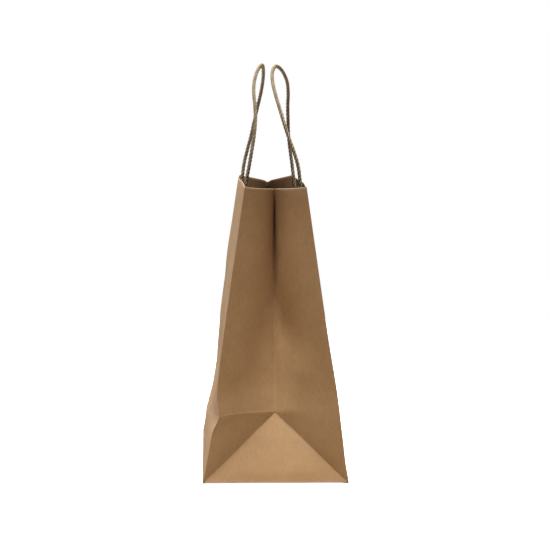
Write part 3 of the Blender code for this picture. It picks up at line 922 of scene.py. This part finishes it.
def handle_route(side):
    loop = []
    for x, y, z in HANDLE_LOOPS[side]:
        bow = wall_point(side, x * MM, WALL_HEIGHT).y * (1 - ease(z, 0, BOW_FELT))
        loop.append(Vector((x * MM, CORD_LEVEL + bow + y * MM, BEND_HEIGHT + z * MM)))
    foot_heights = spread(FOOT_BOTTOM, BEND_HEIGHT, 4)[:-1]
    first = [wall_point(side, loop[0].x, height, CORD_LEVEL) for height in foot_heights]
    last = [wall_point(side, loop[-1].x, height, CORD_LEVEL) for height in foot_heights]
    return [from_wall(side, point)
            for point in smooth_route(first + loop + last[::-1], ROUTE_SPACING)]


def twisted_paper(name, light, dark, shadow):
    """Paper twisted tight while damp: matt ribbons whose folded edges run along each strand.
    The grooves between strands carry painted shade, darker where the surface faces into the cord."""
    ribbon_edge = 2.6 * MM
    fuzz_size, patch_size = 1.1 * MM, 16 * MM
    material, tree, place = new_paper(name)
    along, around, strand, depth = (
        add_node(tree, "ShaderNodeAttribute", attribute_name=label).outputs["Fac"]
        for label in ("along_strand", "round_strand", "which_strand", "out_of_cord")
    )
    wrap = maths(tree, "FRACT", maths(tree, "MULTIPLY_ADD", along, 1 / ribbon_edge, around))
    fuzz = noisy(tree, place, fuzz_size, 4, 0.7)
    patch = noisy(tree, place, patch_size, 2)
    seam = mapped(tree, wrap, 0, 0.3)
    tint = maths(tree, "ADD", maths(tree, "MULTIPLY_ADD", strand, 0.22, patch), fuzz)
    tint = mapped(tree, tint, 0.75, 1.45)
    seamed = mixed(tree, seam, dark, mixed(tree, tint, dark, light))
    # Painted shade: darker where the strand faces into the cord, in the grooves between strands.
    colour = mixed(tree, mapped(tree, depth, 0.35, 0.85), shadow, seamed)
    roughness = mapped(tree, fuzz, 0.3, 0.7, 0.62, 0.82)
    relief = maths(tree, "MULTIPLY_ADD", seam, 0.8, fuzz)
    finish_paper(tree, colour, roughness, relief, 0.7, 0.15 * MM, 0.35)
    return material


def cord_tree(material):
    """Geometry nodes that lay a route's strands round it and give each its body."""
    tree = bpy.data.node_groups.new("twisted_cord", "GeometryNodeTree")
    tree.is_modifier = True
    tree.interface.new_socket("Route", in_out="INPUT", socket_type="NodeSocketGeometry")
    sizes = (("Strands", "NodeSocketInt"), ("Strand Radius", "NodeSocketFloat"),
             ("Lay Radius", "NodeSocketFloat"), ("Twist Length", "NodeSocketFloat"),
             ("Sides", "NodeSocketInt"), ("Spacing", "NodeSocketFloat"))
    for label, kind in sizes:
        tree.interface.new_socket(label, in_out="INPUT", socket_type=kind)
    tree.interface.new_socket("Cord", in_out="OUTPUT", socket_type="NodeSocketGeometry")
    given = add_node(tree, "NodeGroupInput").outputs

    def stored(geometry, label, value, kind="FLOAT"):
        return add_node(tree, "GeometryNodeStoreNamedAttribute", {
            "Geometry": geometry, "Name": label, "Value": value,
        }, data_type=kind, domain="POINT").outputs[0]

    even = add_node(tree, "GeometryNodeResampleCurve", {
        "Curve": given["Route"], "Length": given["Spacing"],
    }, mode="LENGTH")
    copies = add_node(tree, "GeometryNodeDuplicateElements", {
        "Geometry": even.outputs[0], "Amount": given["Strands"],
    }, domain="SPLINE")
    which = copies.outputs["Duplicate Index"]
    marked = stored(copies.outputs["Geometry"], "which_strand", which)
    along = add_node(tree, "GeometryNodeSplineParameter")
    marked = stored(marked, "along_strand", along.outputs["Length"])
    turns = maths(tree, "DIVIDE", along.outputs["Length"], given["Twist Length"])
    turns = maths(tree, "ADD", turns, maths(tree, "DIVIDE", which, given["Strands"]))
    angle = maths(tree, "MULTIPLY", turns, 2 * math.pi)
    tangent = add_node(tree, "GeometryNodeInputTangent")
    normal = add_node(tree, "GeometryNodeInputNormal")
    aside = add_node(tree, "ShaderNodeVectorRotate", {
        "Vector": normal.outputs[0], "Axis": tangent.outputs[0], "Angle": angle,
    }).outputs[0]
    reach = add_node(tree, "ShaderNodeVectorMath", {
        0: aside, "Scale": given["Lay Radius"],
    }, operation="SCALE")
    marked = stored(marked, "cord_outward", aside, "FLOAT_VECTOR")
    laid = add_node(tree, "GeometryNodeSetPosition", {
        "Geometry": marked, "Offset": reach.outputs[0],
    })
    ring = add_node(tree, "GeometryNodeCurvePrimitiveCircle", {
        "Resolution": given["Sides"], "Radius": given["Strand Radius"],
    })
    round_ring = add_node(tree, "GeometryNodeSplineParameter")
    ringed = stored(ring.outputs[0], "round_strand", round_ring.outputs["Factor"])
    bodied = add_node(tree, "GeometryNodeCurveToMesh", {
        "Curve": laid.outputs[0], "Profile Curve": ringed, "Fill Caps": True,
    })
    facing = add_node(tree, "GeometryNodeInputNormal")
    carried = add_node(tree, "GeometryNodeInputNamedAttribute", {
        "Name": "cord_outward",
    }, data_type="FLOAT_VECTOR")
    leaning = add_node(tree, "ShaderNodeVectorMath", {
        0: facing.outputs[0], 1: carried.outputs[0],
    }, operation="DOT_PRODUCT")
    # How far each point faces out of the cord, which drives the painted groove shade.
    outside = maths(tree, "MULTIPLY_ADD", leaning.outputs["Value"], 0.5, 0.5)
    shaded = stored(bodied.outputs[0], "out_of_cord", outside)
    whole = add_node(tree, "GeometryNodeRealizeInstances", {"Geometry": shaded})
    smooth = add_node(tree, "GeometryNodeSetShadeSmooth", {"Geometry": whole.outputs[0]})
    finished = add_node(tree, "GeometryNodeSetMaterial", {
        "Geometry": smooth.outputs[0], "Material": material,
    })
    add_node(tree, "NodeGroupOutput", {"Cord": finished.outputs[0]})
    return tree


# The third colour is the painted shade for the grooves between strands.
TWISTED_PAPER = twisted_paper("twisted_kraft_cord", "#A8967A", "#827256", "#564A33")
CORD_TREE = cord_tree(TWISTED_PAPER)
CORD_SIZES = {
    "Strands": STRANDS, "Strand Radius": STRAND_RADIUS, "Lay Radius": LAY_RADIUS,
    "Twist Length": TWIST_LENGTH, "Sides": STRAND_SIDES, "Spacing": 0.9 * MM,
}


def twisted_handle(side):
    route = handle_route(side)
    line = bpy.data.curves.new(f"{side}_handle_route", "CURVE")
    line.dimensions = "3D"
    line.twist_mode = "MINIMUM"
    spline = line.splines.new("POLY")
    spline.points.add(len(route) - 1)
    for point, place in zip(spline.points, route):
        point.co = (*place, 1)
    guide = bpy.data.objects.new(f"{side}_handle_route", line)
    bpy.context.scene.collection.objects.link(guide)
    nodes = guide.modifiers.new("Cord", "NODES")
    nodes.node_group = CORD_TREE
    for item in CORD_TREE.interface.items_tree:
        if item.name in CORD_SIZES:
            nodes[item.identifier] = CORD_SIZES[item.name]
    shown = guide.evaluated_get(bpy.context.evaluated_depsgraph_get())
    mesh = bpy.data.meshes.new_from_object(shown)
    mesh.name = f"{side}_twisted_handle"
    bpy.data.objects.remove(guide)
    cord = bpy.data.objects.new(f"{side}_twisted_handle", mesh)
    bpy.context.scene.collection.objects.link(cord)
    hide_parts(f"{side}_handle",
                *[f"{side}_handle_{end}_foot" for end in ("right", "left")])
    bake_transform(cord)


for side in ("front", "rear"):
    twisted_handle(side)


# ------------------------------------------------------------------ studio
# A plain white floor under a soft light high over the bag's right-hand end, a cooler one at
# the front wall and a weak one behind. A long lens looks at that end from a little above.

FLOOR_RADIUS, FLOOR_SIDES = 1.7, 96
FLOOR_LEVEL = -0.05 * MM
FLOOR_BOUNCE = "#BAAE9E"  # the floor as the bag sees it, so the folds keep their shade
FLOOR_GLOW = 0.8
LENS = 159.2
TARGET = Vector((BAG_LENGTH / 2, 0, 212.8 * MM))
AZIMUTH, ELEVATION = math.radians(88.40), math.radians(4.23)
DISTANCE = 2.5075


def studio_floor():
    turns = [2 * math.pi * step / FLOOR_SIDES for step in range(FLOOR_SIDES)]
    points = [(0, 0, FLOOR_LEVEL)]
    points += [(FLOOR_RADIUS * math.cos(turn), FLOOR_RADIUS * math.sin(turn), FLOOR_LEVEL)
               for turn in turns]
    mesh = bpy.data.meshes.new("studio_floor")
    mesh.from_pydata(points, [], [
        (0, at, at % FLOOR_SIDES + 1) for at in range(1, FLOOR_SIDES + 1)
    ])
    material, tree, place = new_paper("white_studio_paper")
    shader = tree.nodes["Principled BSDF"]
    tone = mixed(tree, noisy(tree, place, 1 / 3, 2), "#F7F7F7", "#FCFCFC")
    seen = add_node(tree, "ShaderNodeLightPath").outputs["Is Camera Ray"]
    tree.links.new(mixed(tree, seen, FLOOR_BOUNCE, tone), shader.inputs["Base Color"])
    glow = maths(tree, "MULTIPLY", seen, FLOOR_GLOW)
    tree.links.new(glow, shader.inputs["Emission Strength"])
    shader.inputs["Emission Color"].default_value = (1, 1, 1, 1)
    shader.inputs["Roughness"].default_value = 0.9
    shader.inputs["Specular IOR Level"].default_value = 0.1
    mesh.materials.append(material)
    floor = bpy.data.objects.new("studio_floor", mesh)
    bpy.context.scene.collection.objects.link(floor)


def soft_light(name, place, aim, size, power, colour):
    lamp = bpy.data.lights.new(name, "AREA")
    lamp.shape = "DISK"
    lamp.size = size
    lamp.energy = power
    lamp.color = hex_colour(colour)[:3]
    light = bpy.data.objects.new(name, lamp)
    light.location = place
    light.rotation_mode = "QUATERNION"
    light.rotation_quaternion = (Vector(aim) - Vector(place)).to_track_quat("-Z", "Y")
    bpy.context.scene.collection.objects.link(light)


def studio_air(bright_to_eye, light_in_room):
    """The white room round the floor: seen as white, and giving a softer light."""
    world = bpy.data.worlds.new("white_room")
    world.use_nodes = True
    tree = world.node_tree
    seen = add_node(tree, "ShaderNodeLightPath").outputs["Is Camera Ray"]
    strength = mapped(tree, seen, 0, 1, light_in_room, bright_to_eye)
    air = tree.nodes["Background"]
    air.inputs["Color"].default_value = (1, 1, 1, 1)
    tree.links.new(strength, air.inputs["Strength"])
    bpy.context.scene.world = world


def studio_camera():
    lens = bpy.data.cameras.new("camera")
    lens.lens = LENS
    lens.sensor_width = 36
    lens.shift_x, lens.shift_y = -0.0012, 0.0077
    lens.clip_start, lens.clip_end = 0.05, 100
    camera = bpy.data.objects.new("camera", lens)
    back = Vector((
        math.sin(AZIMUTH) * math.cos(ELEVATION),
        -math.cos(AZIMUTH) * math.cos(ELEVATION),
        math.sin(ELEVATION),
    ))
    camera.location = TARGET + back * DISTANCE
    camera.rotation_mode = "QUATERNION"
    camera.rotation_quaternion = (-back).to_track_quat("-Z", "Y")
    bpy.context.scene.collection.objects.link(camera)
    bpy.context.scene.camera = camera


studio_floor()
soft_light("overhead_softbox", (0.5, -0.08, 3.3), (0.15, 0, 0.15), 0.9, 200, "#FFFFFF")
soft_light("left_softbox", (-0.3, -2.4, 0.5), (0, 0, 0.15), 1.2, 28, "#C4D8FF")
soft_light("rear_softbox", (-2.0, 1.8, 0.7), (0, 0, 0.15), 1.5, 12, "#FFFFFF")
studio_air(1.0, 0.035)
studio_camera()
bpy.context.scene.view_settings.view_transform = "Standard"
